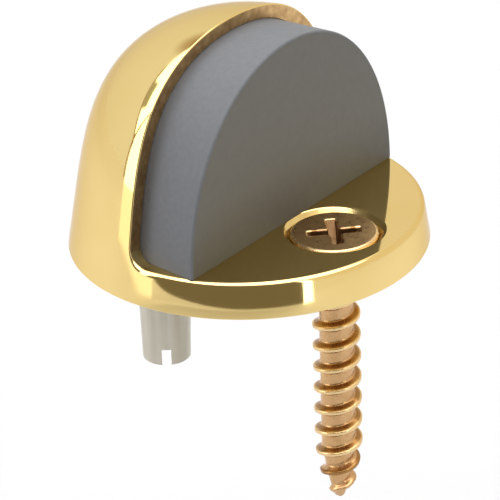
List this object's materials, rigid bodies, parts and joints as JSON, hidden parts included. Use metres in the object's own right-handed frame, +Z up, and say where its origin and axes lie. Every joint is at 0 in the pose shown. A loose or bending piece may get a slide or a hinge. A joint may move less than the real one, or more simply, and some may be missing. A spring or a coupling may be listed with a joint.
{
  "type": "door stop",
  "caption": "Floor-mounted half-dome door stop: polished brass hood and flange, grey rubber bumper, countersunk wood screw and a slotted anchor pin.",
  "frame": {"origin": "centre of the round base's underside, on the floor's surface; the screw and the pin go into the floor below it", "axes": "+Z up out of the floor, through the crown of the dome; -Y is the front, the way the bumper faces; +X is to the right, seen from the front"},
  "size_m": [0.0476, 0.0476, 0.066],
  "materials": {
    "polished_brass": "mirror polished and lacquered, brushed on the hood's front rim",
    "grey_rubber": "moulded, matte",
    "insert_brass": "machined",
    "zinc_steel": "zinc plated",
    "brass_plated_steel": "rolled thread, brass plated, slightly rough",
    "pin_steel": "drawn tube, dull"
  },
  "bodies": {
    "stop": {"dome_body": "polished_brass", "rubber_bumper": "grey_rubber", "bumper_insert": "insert_brass", "bumper_screw": "zinc_steel", "anchor_pin": "pin_steel"},
    "screw": {"mounting_screw": "brass_plated_steel"}
  },
  "joints": [
    {"name": "screw_lift", "type": "slide", "parent": "stop", "child": "screw", "axis": [0, 0, 1], "range_m": [0, 0.036]}
  ]
}
